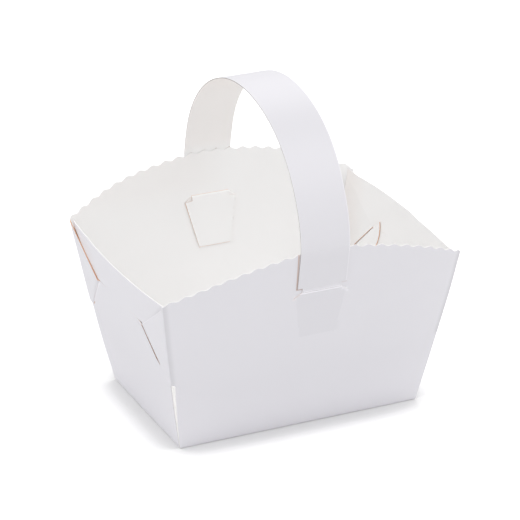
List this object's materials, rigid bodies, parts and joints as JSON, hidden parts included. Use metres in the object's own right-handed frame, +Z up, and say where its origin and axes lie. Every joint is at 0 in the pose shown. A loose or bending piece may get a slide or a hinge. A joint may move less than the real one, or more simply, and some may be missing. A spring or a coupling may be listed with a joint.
{
  "type": "handled pastry box",
  "caption": "Folding white card carry box for pastries, with flared bowed walls, scalloped long rims, hooked corner flaps and an arched strip handle locked into slits.",
  "frame": {"origin": "middle of the underside of the base", "axes": "+X along the two long walls, +Y from one long wall to the other and along the handle's arch, +Z up"},
  "size_m": [0.1892, 0.167, 0.1936],
  "materials": {
    "tray_card": "smooth white coated card, matte to satin",
    "handle_card": "smooth white coated card, satin outside"
  },
  "bodies": {
    "root": {"tray": "tray_card", "handle": "handle_card"}
  },
  "joints": []
}
